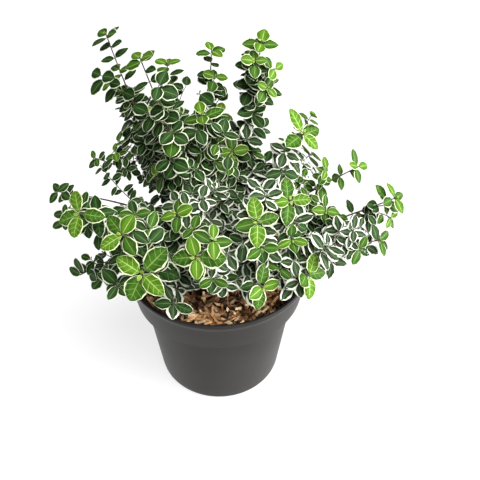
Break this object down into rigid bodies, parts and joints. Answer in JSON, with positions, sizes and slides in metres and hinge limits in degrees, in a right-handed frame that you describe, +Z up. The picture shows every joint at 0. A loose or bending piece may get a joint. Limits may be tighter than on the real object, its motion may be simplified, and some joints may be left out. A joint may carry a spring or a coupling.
{
  "type": "potted emerald gaiety wintercreeper",
  "caption": "Low evergreen shrub with white-edged green leaves on thin spreading shoots, rooted in a round dark nursery pot topped with bark chips.",
  "frame": {"origin": "centre of the pot's flat underside", "axes": "+Z up along the pot's axis, -Y towards the shrub's front, +X to the right seen from the front"},
  "size_m": [0.4054, 0.3258, 0.4656],
  "materials": {
    "pot": "satin dark grey injection-moulded plastic with fine scuffs",
    "mulch": "coarse tan and brown bark chips over dark potting mix",
    "wood": "thin grey-brown bark with small ridges and warts",
    "foliage": "leathery satin leaves, green to lime with cream-white edges"
  },
  "bodies": {
    "root": {"bough_back_left": "wood", "bough_back_mid": "wood", "bough_back_mid_low": "wood", "bough_back_right": "wood", "bough_crest": "wood", "bough_crest_back": "wood", "bough_front_left": "wood", "bough_front_left_low": "wood", "bough_front_mid": "wood", "bough_front_mid_left": "wood", "bough_front_mid_right": "wood", "bough_front_right": "wood", "bough_front_right_low": "wood", "bough_left": "wood", "bough_left_front": "wood", "bough_left_low": "wood", "bough_right": "wood", "bough_right_high": "wood", "bough_right_low": "wood", "bough_rim_left": "wood", "bough_rim_right": "wood", "bough_slim_left": "wood", "bough_tall_left": "wood", "bough_tall_left_inner": "wood", "bough_tall_mid": "wood", "bough_tall_mid_left": "wood", "bough_tall_right": "wood", "bough_upper_right": "wood", "foliage_back_left": "foliage", "foliage_back_mid": "foliage", "foliage_back_mid_low": "foliage", "foliage_back_right": "foliage", "foliage_crest": "foliage", "foliage_crest_back": "foliage", "foliage_front_left": "foliage", "foliage_front_left_low": "foliage", "foliage_front_mid": "foliage", "foliage_front_mid_left": "foliage", "foliage_front_mid_right": "foliage", "foliage_front_right": "foliage", "foliage_front_right_low": "foliage", "foliage_left": "foliage", "foliage_left_front": "foliage", "foliage_left_low": "foliage", "foliage_right": "foliage", "foliage_right_high": "foliage", "foliage_right_low": "foliage", "foliage_rim_left": "foliage", "foliage_rim_right": "foliage", "foliage_slim_left": "foliage", "foliage_tall_left": "foliage", "foliage_tall_left_inner": "foliage", "foliage_tall_mid": "foliage", "foliage_tall_mid_left": "foliage", "foliage_tall_right": "foliage", "foliage_upper_right": "foliage", "main_stem": "wood", "pot": "pot", "potting_mix": "mulch"}
  },
  "joints": []
}
